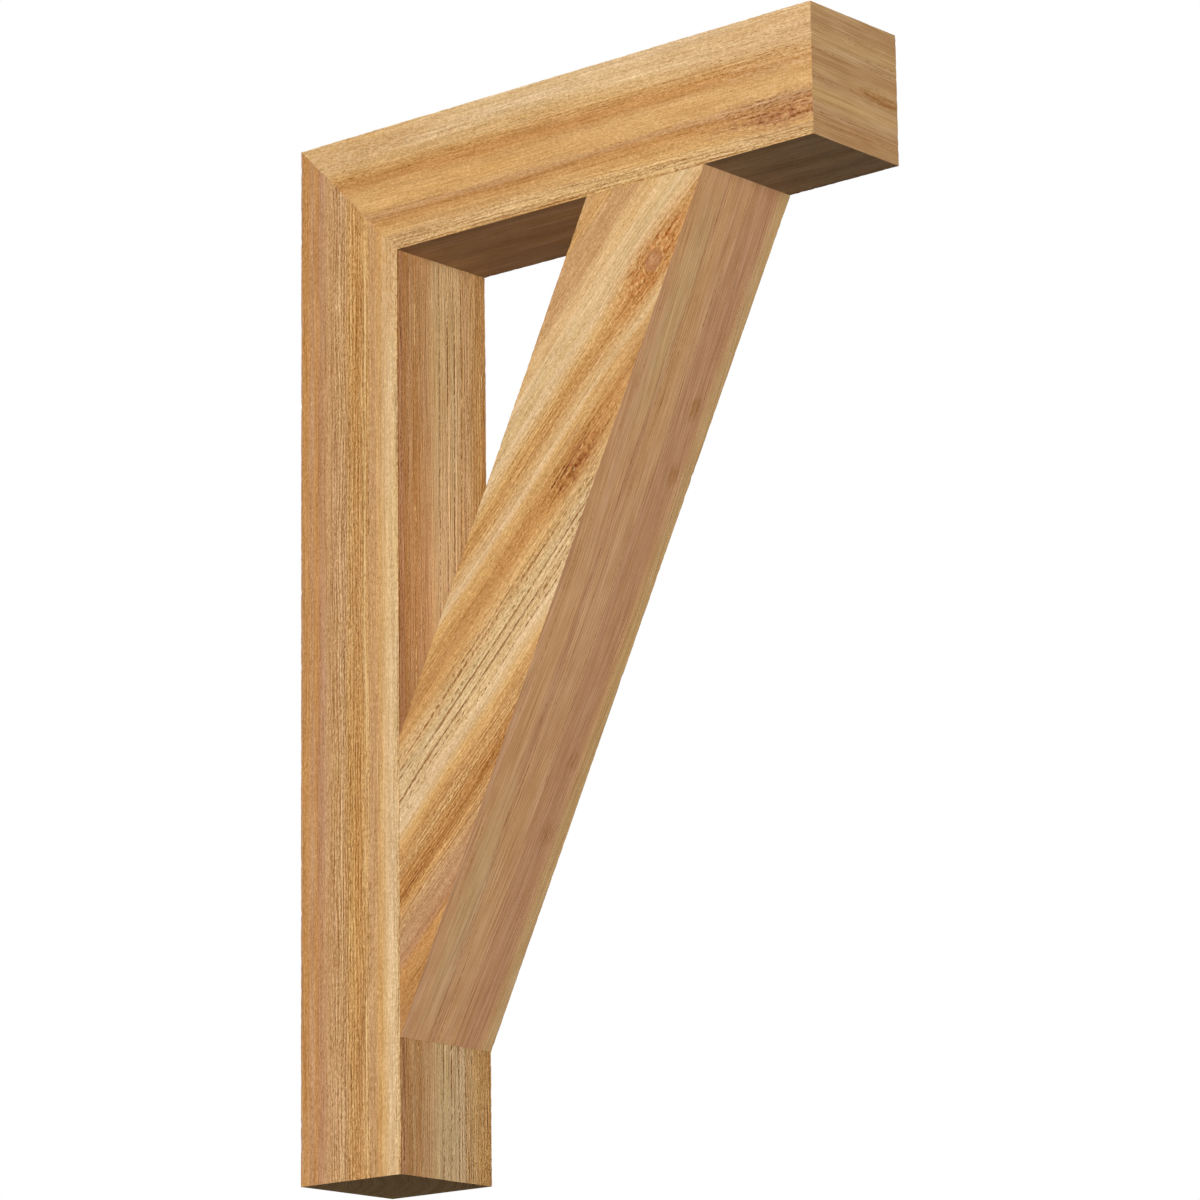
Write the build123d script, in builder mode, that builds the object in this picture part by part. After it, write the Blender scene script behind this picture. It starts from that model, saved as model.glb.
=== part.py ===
from build123d import *
import os

# A timber bracket for an eave or a shelf: a post against the wall, a beam mitred to its head and a
# sloping brace between the two. All sizes are in millimetres.
# +X runs out from the wall, +Y across the bracket and +Z up. The origin is where the wall and the
# soffit meet, at the middle of the bracket's width.

# Timbers, full-sawn four by four
width = 101.6  # across the bracket, all three timbers
post_depth = 101.6  # out from the wall
beam_height = 101.6
brace_depth = 101.6  # square to the brace's slope

# Layout
projection = 508.0  # wall to the beam's end
height = 812.8  # top of the beam to the post's foot
beam_overhang = 101.6  # beam left beyond the brace
post_tail = 101.6  # post left below the brace

# Structural wood screw, its length taken under the head
screw_length = 150.0
head_diameter = 16.0
head_thickness = 3.6
head_rim_chamfer = 1.2
shank_diameter = 5.8
thread_diameter = 8.0
thread_length = 52.0
point_length = 9.0

# Six-pointed recess in the screw's head
drive_width = 6.6  # across its points
drive_depth = 2.4

# Screw holes: clear through the timber under the head, cut to the thread in the timber that it pulls up
counterbore_clearance = 1.5  # round the head
counterbore_depth = 12.0
thread_clearance = 0.25  # round the thread, in the timber under the head
point_room = 2.0  # drilled past the screw's point

# Fluted dowels, glued across the mitre
dowel_diameter = 10.0
dowel_length = 80.0
dowel_end_chamfer = 1.5
dowel_flutes = 12
dowel_flute_depth = 0.5
glue_gap = 0.1  # round the dowel
glue_room = 2.0  # past each of its ends

# Fixing places
fixing_pitch = 14.0  # step across the bracket between a dowel and the screws beside it
corner_back_drop = 60.0  # below the top of the beam, for the corner screws driven from the wall face
corner_top_setback = 60.0  # out from the wall, for the corner screw driven from the top
foot_screw_drop = 40.0  # below the top of the brace's seat on the post

# The brace's lower face runs from the beam's underside down to the post's inner face.
brace_top_x = projection - beam_overhang
brace_foot_z = post_tail - height
brace_line = Vector(brace_top_x - post_depth, 0, -beam_height - brace_foot_z)
brace_slope = brace_line.normalized()
head_seat = brace_depth / brace_slope.Z  # the brace's end against the beam, along X
foot_seat = brace_depth / brace_slope.X  # the brace's end against the post, along Z

# Faces that the timbers meet on. The mitre's normal points into the beam.
mitre = Plane(
    origin=(post_depth / 2, 0, -beam_height / 2),
    x_dir=(0, 1, 0),
    z_dir=(beam_height, 0, post_depth),
)
beam_underside = Plane(origin=(0, 0, -beam_height), x_dir=(0, 1, 0), z_dir=(0, 0, 1))
post_inner_face = Plane(origin=(post_depth, 0, 0), x_dir=(0, 1, 0), z_dir=(1, 0, 0))


def driven_from_wall(drop):
    """The wall face as a plane drop below the top of the beam, looking back along its screws."""
    return Plane(origin=(0, 0, -drop), x_dir=(0, 1, 0), z_dir=(-1, 0, 0))


def driven_from_top(setback):
    """The top face as a plane setback out from the wall, looking back along its screws."""
    return Plane(origin=(setback, 0, 0), x_dir=(0, 1, 0), z_dir=(0, 0, 1))


# Each row of fixings: the face that they start from, and their steps across it from the middle
dowels = (mitre, (-1, 1))
corner_back_screws = (driven_from_wall(corner_back_drop), (-2, 2))
corner_top_screws = (driven_from_top(corner_top_setback), (0,))
brace_head_screws = (driven_from_top(brace_top_x - head_seat / 2), (-2, 2))
brace_foot_screws = (driven_from_wall(foot_screw_drop - brace_foot_z - foot_seat), (-2, 2))


def row_places(row, depth=0.0):
    """The row's axes as locations, depth below the face that they start from."""
    face, steps = row
    return [face.offset(-depth) * Location((step * fixing_pitch, 0, 0)) for step in steps]


def cut_clearance_holes(row):
    """Counterbored holes through the timber under the screws' heads."""
    with Locations(*row_places(row)):
        CounterBoreHole(
            radius=thread_diameter / 2 + thread_clearance,
            counter_bore_radius=head_diameter / 2 + counterbore_clearance,
            counter_bore_depth=counterbore_depth,
        )


def cut_thread_holes(row):
    """The holes that the screws' threads cut in the timber that they pull up."""
    with Locations(*row_places(row)):
        Hole(thread_diameter / 2, depth=counterbore_depth + screw_length + point_room)


def cut_dowel_holes():
    """Blind holes for the dowels, half of each in either timber."""
    with Locations(*row_places(dowels)):
        Cylinder(
            radius=dowel_diameter / 2 + glue_gap,
            height=dowel_length + 2 * glue_room,
            mode=Mode.SUBTRACT,
        )


# Post: mitred at the head, bored from the wall face for the corner and for the brace's foot
with BuildPart() as post:
    with BuildSketch(Plane.XY.offset(-height)):
        Rectangle(post_depth, width, align=(Align.MIN, Align.CENTER))
    extrude(amount=height)
    split(bisect_by=mitre, keep=Keep.BOTTOM)
    cut_clearance_holes(corner_back_screws)
    cut_clearance_holes(brace_foot_screws)
    cut_thread_holes(corner_top_screws)
    cut_dowel_holes()
post.part.label = "post"

# Beam: mitred at the wall end, bored from the top for the corner and for the brace's head
with BuildPart() as beam:
    with BuildSketch(Plane.YZ):
        Rectangle(width, beam_height, align=(Align.CENTER, Align.MAX))
    extrude(amount=projection)
    split(bisect_by=mitre, keep=Keep.TOP)
    cut_clearance_holes(corner_top_screws)
    cut_clearance_holes(brace_head_screws)
    cut_thread_holes(corner_back_screws)
    cut_dowel_holes()
beam.part.label = "beam"

# Brace: a square stick along its lower face, sawn level where it meets the beam and plumb where it
# meets the post
lower_face_foot = Plane(origin=(post_depth, 0, brace_foot_z), x_dir=(0, 1, 0), z_dir=brace_slope)
with BuildPart() as brace:
    with BuildSketch(lower_face_foot.offset(-foot_seat)):
        Rectangle(width, brace_depth, align=(Align.CENTER, Align.MIN))
    extrude(amount=foot_seat + brace_line.length + head_seat)
    split(bisect_by=beam_underside, keep=Keep.BOTTOM)
    split(bisect_by=post_inner_face, keep=Keep.TOP)
    cut_thread_holes(brace_head_screws)
    cut_thread_holes(brace_foot_screws)
brace.part.label = "brace"

# Screw: the underside of its head at the origin and its point down
with BuildPart() as screw:
    with BuildSketch(Plane.XZ):
        with BuildLine():
            Polyline(
                (0, head_thickness),
                (head_diameter / 2, head_thickness),
                (head_diameter / 2, 0),
                (shank_diameter / 2, 0),
                (shank_diameter / 2, thread_length - screw_length),
                (thread_diameter / 2, thread_length - screw_length),
                (thread_diameter / 2, point_length - screw_length),
                (0, -screw_length),
                close=True,
            )
        make_face()
    revolve(axis=Axis.Z)
    chamfer(screw.edges().filter_by(GeomType.CIRCLE).sort_by(Axis.Z)[-1], head_rim_chamfer)
    with BuildSketch(Plane.XY.offset(head_thickness)):
        RegularPolygon(drive_width / 2, side_count=3)
        RegularPolygon(drive_width / 2, side_count=3, rotation=180)
    extrude(amount=-drive_depth, mode=Mode.SUBTRACT)

# Dowel: centred on the origin, with V flutes that let the glue past
with BuildPart() as dowel:
    Cylinder(dowel_diameter / 2, dowel_length)
    chamfer(dowel.edges().filter_by(GeomType.CIRCLE), dowel_end_chamfer)
    with BuildSketch():
        with PolarLocations(dowel_diameter / 2, dowel_flutes):
            RegularPolygon(dowel_flute_depth, side_count=4)
    extrude(amount=dowel_length / 2, both=True, mode=Mode.SUBTRACT)

os.makedirs("parts", exist_ok=True)
for timber in (post, beam, brace):
    export_step(timber.part, f"parts/{timber.part.label}.step")

# One node for each fixing, numbered across its row
for name, fixing, row, depth in (
    ("mitre_dowel", dowel, dowels, 0),
    ("corner_back_screw", screw, corner_back_screws, counterbore_depth),
    ("corner_top_screw", screw, corner_top_screws, counterbore_depth),
    ("brace_head_screw", screw, brace_head_screws, counterbore_depth),
    ("brace_foot_screw", screw, brace_foot_screws, counterbore_depth),
):
    for number, place in enumerate(row_places(row, depth), start=1):
        with BuildPart(place) as placed:
            add(fixing.part)
        placed.part.label = f"{name}_{number}"
        export_step(placed.part, f"parts/{placed.part.label}.step")
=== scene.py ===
import math
from collections import namedtuple

import bmesh
import bpy
from bpy.props import BoolProperty, FloatProperty, FloatVectorProperty, IntProperty, PointerProperty
from mathutils import Matrix, Vector, noise


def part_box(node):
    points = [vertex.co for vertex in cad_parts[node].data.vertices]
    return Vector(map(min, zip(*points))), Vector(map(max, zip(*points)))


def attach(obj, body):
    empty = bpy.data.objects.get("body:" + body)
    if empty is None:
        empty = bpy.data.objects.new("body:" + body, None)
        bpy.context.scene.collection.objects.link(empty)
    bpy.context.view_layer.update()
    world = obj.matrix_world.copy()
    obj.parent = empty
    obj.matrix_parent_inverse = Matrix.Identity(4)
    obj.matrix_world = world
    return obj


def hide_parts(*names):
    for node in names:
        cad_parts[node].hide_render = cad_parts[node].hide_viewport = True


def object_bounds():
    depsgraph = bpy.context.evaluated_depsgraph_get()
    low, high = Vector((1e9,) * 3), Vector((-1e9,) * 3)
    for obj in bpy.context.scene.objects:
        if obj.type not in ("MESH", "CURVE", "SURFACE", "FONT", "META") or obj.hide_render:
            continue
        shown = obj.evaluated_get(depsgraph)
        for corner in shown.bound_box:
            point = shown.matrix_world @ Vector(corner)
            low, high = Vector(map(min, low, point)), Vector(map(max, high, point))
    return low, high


bl_info = {
    "name": "Cedar bracket",
    "version": (1, 0, 0),
    "blender": (4, 5, 0),
    "location": "View3D > Sidebar > Bracket",
    "description": "Dresses a cedar bracket's timbers, screws and dowels, and sets a stage round it",
    "category": "Add Mesh",
}

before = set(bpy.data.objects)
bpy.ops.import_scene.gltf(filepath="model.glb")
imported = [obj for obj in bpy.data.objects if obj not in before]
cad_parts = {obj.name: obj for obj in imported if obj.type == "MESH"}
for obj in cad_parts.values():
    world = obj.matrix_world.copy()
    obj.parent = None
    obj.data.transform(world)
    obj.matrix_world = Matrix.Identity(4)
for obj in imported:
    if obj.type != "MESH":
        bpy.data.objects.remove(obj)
cad_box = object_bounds()

MM = 0.001
POST_LOW, POST_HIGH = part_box("post")
BEAM_LOW, BEAM_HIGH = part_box("beam")
BRACE_LOW, BRACE_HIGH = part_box("brace")
HALF_WIDTH = POST_HIGH.y
TIMBER = POST_HIGH.x  # the depth of all three timbers
ALONG_Y = Vector((0, 1, 0))
RAMP_STOPS = 32  # the most that one colour ramp holds
END_GRAIN = "Cedar, end grain"
WANDER_LENGTH = 170.0  # millimetres along the grain between its bends
LEAN_MIDDLE = 340.0  # millimetres along a face to the middle of its leaning lines
GROOVE_REACH = 1.6  # millimetres from a torn line's middle to its groove's edge
SKIM = 0.03 * MM  # what the saw takes off everywhere
CREASE = 0.6  # radians between two of a screw's faces, from which their edge looks sharp
LOBE = 0.12  # how far a recess's six lobes reach out, as a share of its radius
THREAD_ROOT = 0.3 * MM  # how far a thread's root is sunk in the core
FLOOR_REACH = 9.0
FLOOR_GLOW = 0.55
FLOOR_BOUNCE = 0.03  # the share of the floor's colour that lights the bracket
SENSOR = 36.0  # millimetres
CAMERA_PLACE = Vector((2.74854, -2.93366, -1.33797))
CAMERA_AIM = Vector((0.04547, 0.25032, -0.31539))
CAMERA_ROLL = math.radians(-0.76)

# The brace's slope, and its seats on the beam and on the post
BRACE_SLOPE = Vector((BRACE_HIGH.x - BRACE_LOW.x, 0, BRACE_HIGH.z - BRACE_LOW.z)).normalized()
HEAD_SEAT = TIMBER / BRACE_SLOPE.z
FOOT_SEAT = TIMBER / BRACE_SLOPE.x


def tint(*screen):
    """A colour as it shows on a screen, 0 to 255, made linear."""
    return tuple(((c / 255 + 0.055) / 1.055) ** 2.4 if c > 10 else c / 255 / 12.92 for c in screen)


def colour_property(name, description, default):
    """A colour setting with its default."""
    return FloatVectorProperty(
        name=name, description=description, subtype="COLOR", size=3, min=0, max=1, default=tint(*default)
    )


def length_property(name, description, default, **limits):
    """A length setting in metres with its default."""
    return FloatProperty(
        name=name, description=description, unit="LENGTH", precision=5, default=default, **limits
    )


class CedarSettings(bpy.types.PropertyGroup):
    """Colours of the wood, with painted highlights and the underside's painted shade, and how rough the saw
    left it.
    """

    cream: colour_property("Cream", "Palest sapwood bands", (224, 188, 139))
    pale: colour_property("Pale tan", "Pale bands", (218, 180, 130))
    sand: colour_property("Sand", "Light bands", (213, 170, 115))
    straw: colour_property("Straw", "Yellowish bands", (211, 162, 101))
    gold: colour_property("Gold", "Golden bands", (206, 157, 97))
    tan: colour_property("Tan", "The wood's mean colour", (199, 152, 102))
    honey: colour_property("Honey", "Slightly darker bands", (201, 148, 88))
    orange: colour_property("Orange", "Orange bands", (196, 140, 81))
    amber: colour_property("Amber", "Brown-orange bands", (189, 136, 81))
    rust: colour_property("Rust", "Darkest orange lines", (178, 121, 66))
    pink: colour_property("Pink", "Pinkish bands", (192, 145, 102))
    mauve: colour_property("Mauve", "Mauve-brown bands", (184, 133, 92))
    wheat: colour_property("Wheat", "Bands of the smoother faces", (209, 165, 114))
    rose: colour_property("Rose", "Rosy bands of the brace's lower face", (215, 164, 114))
    blush: colour_property("Blush", "Darker rosy bands of the brace's lower face", (205, 152, 108))
    # The next two tones are the underside's bands darkened as painted shade of a face that looks down; the
    # second is also the end grain's late wood.
    underside_shade_dun: colour_property("Dun", "Duller bands of the underside", (176, 142, 104))
    latewood_and_underside_shade_drab: colour_property("Drab", "Darker bands of the underside", (160, 128, 94))
    olive: colour_property("Olive", "Greenish pale patches", (212, 176, 124))
    # A painted highlight: the pale colour laid where fibres stand up and catch the light.
    fibre_highlight: colour_property("Fibre", "Pale fibres that stand up and catch the light", (237, 198, 138))
    ember: colour_property("Ember", "Resin round a live knot", (186, 112, 52))
    russet: colour_property("Russet", "Dark ring and stain of a knot", (156, 92, 54))
    # Umber darkens the torn grooves and tears as painted shade.
    umber: colour_property("Umber", "Torn grooves", (146, 90, 42))
    saw_depth: length_property("Saw depth", "How deep the saw tore a sawn face", 0.45 * MM, min=0)
    groove_depth: length_property("Groove depth", "Depth of the torn lines", 0.35 * MM, min=0)
    cell_across: length_property("Cell across", "Mesh spacing across the grain", 1.08 * MM, min=0.0005)
    cell_along: length_property("Cell along", "Mesh spacing along the grain", 3.9 * MM, min=0.0005)


class FixingSettings(bpy.types.PropertyGroup):
    """Sizes and colours of the screws and dowels."""

    coating: colour_property("Coating", "Weatherproof coating of the screws", (116, 94, 62))
    beech: colour_property("Beech", "Wood of the dowels", (203, 165, 118))
    thread_pitch: length_property("Thread pitch", "Advance of the thread in one turn", 4.2 * MM, min=0.001)
    core_radius: length_property("Core radius", "Radius at the root of the thread", 2.6 * MM, min=0.001)
    segments: IntProperty(name="Segments", description="Faces round a screw", default=36, min=12)
    screw_length: length_property("Screw length", "Length under the head", 150 * MM, min=0.03)
    point_length: length_property("Point length", "Length of the point", 9 * MM, min=0.001)
    thread_length: length_property("Thread length", "Length with its point", 52 * MM, min=0.01)
    thread_radius: length_property("Thread radius", "Radius over the thread", 4.0 * MM, min=0.001)
    shank_radius: length_property("Shank radius", "Radius of the plain shank", 2.9 * MM, min=0.001)
    head_radius: length_property("Head radius", "Radius of the head", 8.0 * MM, min=0.002)
    head_thickness: length_property("Head thickness", "Thickness of the head", 3.6 * MM, min=0.001)
    rim_chamfer: length_property("Rim chamfer", "Slope round the head's rim", 1.2 * MM, min=0)
    recess_radius: length_property("Recess radius", "Half the drive's width", 3.3 * MM, min=0.001)
    recess_depth: length_property("Recess depth", "Depth of the drive", 2.4 * MM, min=0.0005)


class StageSettings(bpy.types.PropertyGroup):
    """Floor, lamps and camera."""

    floor_height: length_property("Floor height", "Height of the floor against the soffit", -2.6)
    floor_colour: colour_property("Floor", "Pale floor", (244, 243, 240))
    key_power: FloatProperty(name="Key", description="Power of the key lamp", unit="POWER", default=426)
    back_power: FloatProperty(name="Back", description="Power of the back lamp", unit="POWER", default=300)
    wall_power: FloatProperty(name="Wall", description="Power of the wall lamp", unit="POWER", default=170)
    top_power: FloatProperty(name="Top", description="Power of the top lamp", unit="POWER", default=230)
    lamp_distance: length_property("Lamp distance", "From the bracket's middle to each lamp", 6.0)
    lamp_size: length_property("Lamp size", "Side of each square lamp", 2.6)
    sky: FloatProperty(name="Sky", description="Light from above", default=0.10, min=0)
    ground: FloatProperty(name="Ground", description="Light from below", default=0.035, min=0)
    lens: FloatProperty(name="Lens", description="Focal length in millimetres", default=160.12, min=1)
    show_floor: BoolProperty(name="Floor", description="Whether the floor is made", default=True)


class Graph:
    """A node tree being filled in. Each call adds a node and gives back what it puts out."""

    def __init__(self, tree):
        self.tree = tree

    def feed(self, value, socket):
        """Links what a node puts out to a socket, or sets a constant on it."""
        if isinstance(value, bpy.types.NodeSocket):
            self.tree.links.new(value, socket)
        elif socket.type == "RGBA" and len(value) == 3:
            socket.default_value = (*value, 1)
        else:
            socket.default_value = value

    def fill(self, node, inputs):
        """Feeds a node's sockets, given by name or number."""
        for socket, value in inputs.items():
            self.feed(value, node.inputs[socket])

    def add(self, kind, inputs=None, **settings):
        node = self.tree.nodes.new(kind)
        for name, value in settings.items():
            setattr(node, name, value)
        self.fill(node, inputs or {})
        return node

    def group(self, name, **inputs):
        """A node that stands for a group. Its sockets' names are given with _ for a space."""
        inputs = {socket.replace("_", " "): value for socket, value in inputs.items()}
        return self.add("ShaderNodeGroup", inputs, node_tree=bpy.data.node_groups[name]).outputs

    def math(self, operation, *values, clamp=False):
        node = self.add("ShaderNodeMath", dict(enumerate(values)), operation=operation, use_clamp=clamp)
        return node.outputs[0]

    def plus(self, *values, **settings):
        return self.math("ADD", *values, **settings)

    def minus(self, *values):
        return self.math("SUBTRACT", *values)

    def times(self, *values, **settings):
        return self.math("MULTIPLY", *values, **settings)

    def over(self, *values):
        return self.math("DIVIDE", *values)

    def times_plus(self, value, factor, rest, **settings):
        return self.math("MULTIPLY_ADD", value, factor, rest, **settings)

    def larger(self, *values):
        return self.math("MAXIMUM", *values)

    def swing(self, value, amount):
        """A value from 0 to 1 made a swing of half an amount to either side of 0."""
        return self.times(self.minus(value, 0.5), amount)

    def vector(self, operation, *values):
        """Vector arithmetic, where a plain number stands for three alike."""
        values = [(value,) * 3 if isinstance(value, (int, float)) else value for value in values]
        node = self.add("ShaderNodeVectorMath", dict(enumerate(values)), operation=operation)
        return node.outputs["Value" if operation in ("DOT_PRODUCT", "LENGTH") else "Vector"]

    def combine(self, x, y, z=0.0):
        return self.add("ShaderNodeCombineXYZ", {0: x, 1: y, 2: z}).outputs[0]

    def separate(self, vector):
        return self.add("ShaderNodeSeparateXYZ", {0: vector}).outputs

    def place(self, scale=1 / MM):
        """Object coordinates in millimetres."""
        return self.vector("MULTIPLY", self.add("ShaderNodeTexCoord").outputs["Object"], scale)

    def noise(self, vector, stretch, detail=2.0, roughness=0.5, output="Fac"):
        """Noise from 0 to 1 whose patches are as large as stretch, in millimetres."""
        scaled = self.vector("DIVIDE", vector, stretch)
        inputs = {"Vector": scaled, "Scale": 1.0, "Detail": detail, "Roughness": roughness}
        return self.add("ShaderNodeTexNoise", inputs).outputs[output]

    def ramp(self, value, low, high):
        """0 at low, 1 at high and straight between."""
        inputs = {"Value": value, "From Min": low, "From Max": high}
        return self.add("ShaderNodeMapRange", inputs, clamp=True).outputs[0]

    def mix(self, factor, first, second, blend="MIX"):
        """Two colours mixed. The Mix node has its colour sockets after its numbers and vectors."""
        inputs = {0: factor, 6: first, 7: second}
        return self.add("ShaderNodeMix", inputs, data_type="RGBA", blend_type=blend).outputs[2]

    def ramp_of(self, value, stops):
        """A colour ramp with stops of (place, colour, alpha). Gives its colour and its alpha."""
        node = self.add("ShaderNodeValToRGB", {0: value})
        elements = node.color_ramp.elements
        while len(elements) < len(stops):
            elements.new(1.0)
        for element, (place, colour, alpha) in zip(elements, stops):
            element.position = place
            element.color = (*colour, alpha)
        return node.outputs["Color"], node.outputs["Alpha"]

    def bands(self, value, stops):
        """A colour ramp, or two end to end where one can't hold all the stops."""
        if len(stops) <= RAMP_STOPS:
            return self.ramp_of(value, stops)
        half = len(stops) // 2
        first, first_alpha = self.ramp_of(value, stops[: half + 1])
        second, second_alpha = self.ramp_of(value, stops[half:])
        past = self.math("GREATER_THAN", value, stops[half][0])
        alpha = self.add("ShaderNodeMix", {0: past, 2: first_alpha, 3: second_alpha}).outputs[0]
        return self.mix(past, first, second), alpha


def start_group(name, inputs, outputs):
    """A new node group with its sockets listed by kind: its graph, its inputs by name and its output
    node."""
    tree = bpy.data.node_groups.new(name, "ShaderNodeTree")
    for way, sockets in (("INPUT", inputs), ("OUTPUT", outputs)):
        for kind, labels in sockets.items():
            for label in labels.split(", "):
                tree.interface.new_socket(label, in_out=way, socket_type=f"NodeSocket{kind}")
    graph = Graph(tree)
    entry = graph.add("NodeGroupInput")
    leave = graph.add("NodeGroupOutput")
    return graph, entry.outputs, leave


def finish_group(graph, leave, **results):
    """Feeds the results to the group's outputs, by name."""
    graph.fill(leave, results)


def build_grain_frame():
    """Turns object coordinates into millimetres along the grain, across it and out of the face."""
    graph, given, leave = start_group(
        "Grain frame",
        {"Vector": "Start, Along, Across", "Float": "Wander, Wander length"},
        {"Vector": "Vector"},
    )
    place = graph.add("ShaderNodeTexCoord").outputs["Object"]
    place = graph.vector("SUBTRACT", place, given["Start"])
    place = graph.vector("MULTIPLY", place, 1 / MM)
    out = graph.vector("CROSS_PRODUCT", given["Along"], given["Across"])
    along = graph.vector("DOT_PRODUCT", place, given["Along"])
    across = graph.vector("DOT_PRODUCT", place, given["Across"])
    out = graph.vector("DOT_PRODUCT", place, out)
    # The grain wanders a little to each side of its straight run.
    slow = graph.combine(graph.over(along, given["Wander length"]), graph.over(across, 45.0))
    drift = graph.add("ShaderNodeTexNoise", {"Vector": slow, "Scale": 1.0, "Detail": 1.0}).outputs["Fac"]
    drift = graph.minus(drift, 0.5)
    across = graph.times_plus(drift, given["Wander"], across)
    finish_group(graph, leave, Vector=graph.combine(along, across, out))


def build_knot():
    """A knot that pushes the grain round itself: a round core, its rings and a halo drawn out along the
    grain."""
    graph, given, leave = start_group(
        "Knot",
        {"Vector": "Vector", "Float": "Along, Across, Radius, Stretch, Push"},
        {"Vector": "Vector", "Float": "Core, Halo, Rings"},
    )
    axes = graph.separate(given["Vector"])
    along = graph.over(graph.minus(axes[0], given["Along"]), given["Radius"])
    across = graph.over(graph.minus(axes[1], given["Across"]), given["Radius"])
    rough = graph.minus(graph.noise(given["Vector"], (12.0, 2.4, 2.4)), 0.5)
    round_off = graph.vector("LENGTH", graph.combine(along, across))
    core = graph.ramp(graph.times_plus(rough, 1.0, round_off), 1.25, 0.95)
    rim = graph.times_plus(rough, 2.0, round_off)
    arcs = graph.times(graph.math("SINE", graph.times(rim, 13.0)), 0.22)
    rings = graph.plus(graph.ramp(rim, 0.35, 1.1), arcs, clamp=True)
    drawn = graph.over(along, given["Stretch"])
    long_off = graph.vector("LENGTH", graph.combine(drawn, across))
    blotches = graph.noise(given["Vector"], (6.0, 2.6, 2.6))
    halo = graph.ramp(graph.times_plus(rough, 4.0, long_off), 2.9, 0.9)
    patchy = graph.times_plus(graph.ramp(blotches, 0.38, 0.62), 0.75, 0.25)
    halo = graph.times(halo, patchy)
    near = graph.math("POWER", graph.ramp(long_off, 4.5, 0.3), 1.5)
    pull = graph.times(near, given["Push"])
    pull = graph.times(pull, graph.times(across, given["Radius"]))
    moved = graph.combine(axes[0], graph.minus(axes[1], pull), axes[2])
    finish_group(graph, leave, Vector=moved, Core=core, Halo=halo, Rings=graph.times(rings, core))


def slanted(graph, vector):
    """Coordinates whose patches lie aslant to the grain, as fibres that a saw tears do."""
    axes = graph.separate(vector)
    return graph.combine(graph.times_plus(axes[1], 0.9, axes[0]), axes[1], axes[2])


def build_ragged_bands():
    """The place across the grain, with ragged edges for the bands."""
    graph, given, leave = start_group(
        "Ragged bands", {"Vector": "Vector", "Float": "Amount"}, {"Float": "Across"}
    )
    coarse = graph.noise(given["Vector"], (60.0, 5.0, 5.0), detail=3.0, roughness=0.6)
    ragged = graph.swing(coarse, given["Amount"])
    finish_group(graph, leave, Across=graph.plus(graph.separate(given["Vector"])[1], ragged))


def build_lean():
    """Fine lines that lean to one side up to a face's middle and back again after it."""
    graph, given, leave = start_group(
        "Lean", {"Vector": "Vector", "Float": "Middle, Slope"}, {"Vector": "Vector"}
    )
    axes = graph.separate(given["Vector"])
    off = graph.minus(axes[0], given["Middle"])
    off = graph.math("SQRT", graph.times_plus(off, off, 900.0))
    across = graph.times_plus(off, given["Slope"], axes[1])
    finish_group(graph, leave, Vector=graph.combine(axes[0], across, axes[2]))


def build_torn_lines():
    """Lines along the grain that the saw tore in beads: dark with painted shade where torn, and pale with
    painted highlights beside the grooves.
    """
    graph, given, leave = start_group(
        "Torn lines", {"Vector": "Vector", "Color": "Shares"}, {"Float": "Torn, Raised, Reddened"}
    )
    # The three kinds of line are worked out at once, as the three parts of a vector.
    beads = graph.noise(slanted(graph, given["Vector"]), (3.4, 1.8, 1.8), output="Color")
    runs = graph.noise(given["Vector"], (75.0, 4.0, 4.0), detail=1.0, output="Color")
    runs = graph.vector("MULTIPLY", graph.vector("SUBTRACT", runs, 0.5), 0.8)
    level = graph.vector("MULTIPLY", given["Shares"], 0.58)
    level = graph.vector("ADD", level, graph.vector("ADD", beads, runs))
    masks = graph.vector("MULTIPLY", graph.vector("SUBTRACT", level, 0.76), 7.0)
    masks = graph.vector("MINIMUM", graph.vector("MAXIMUM", masks, 0), 1)
    near = graph.vector("MINIMUM", graph.vector("MULTIPLY", given["Shares"], 8), 1)
    masks = graph.separate(graph.vector("MULTIPLY", masks, near))
    finish_group(graph, leave, Torn=masks[0], Raised=masks[1], Reddened=masks[2])


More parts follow.
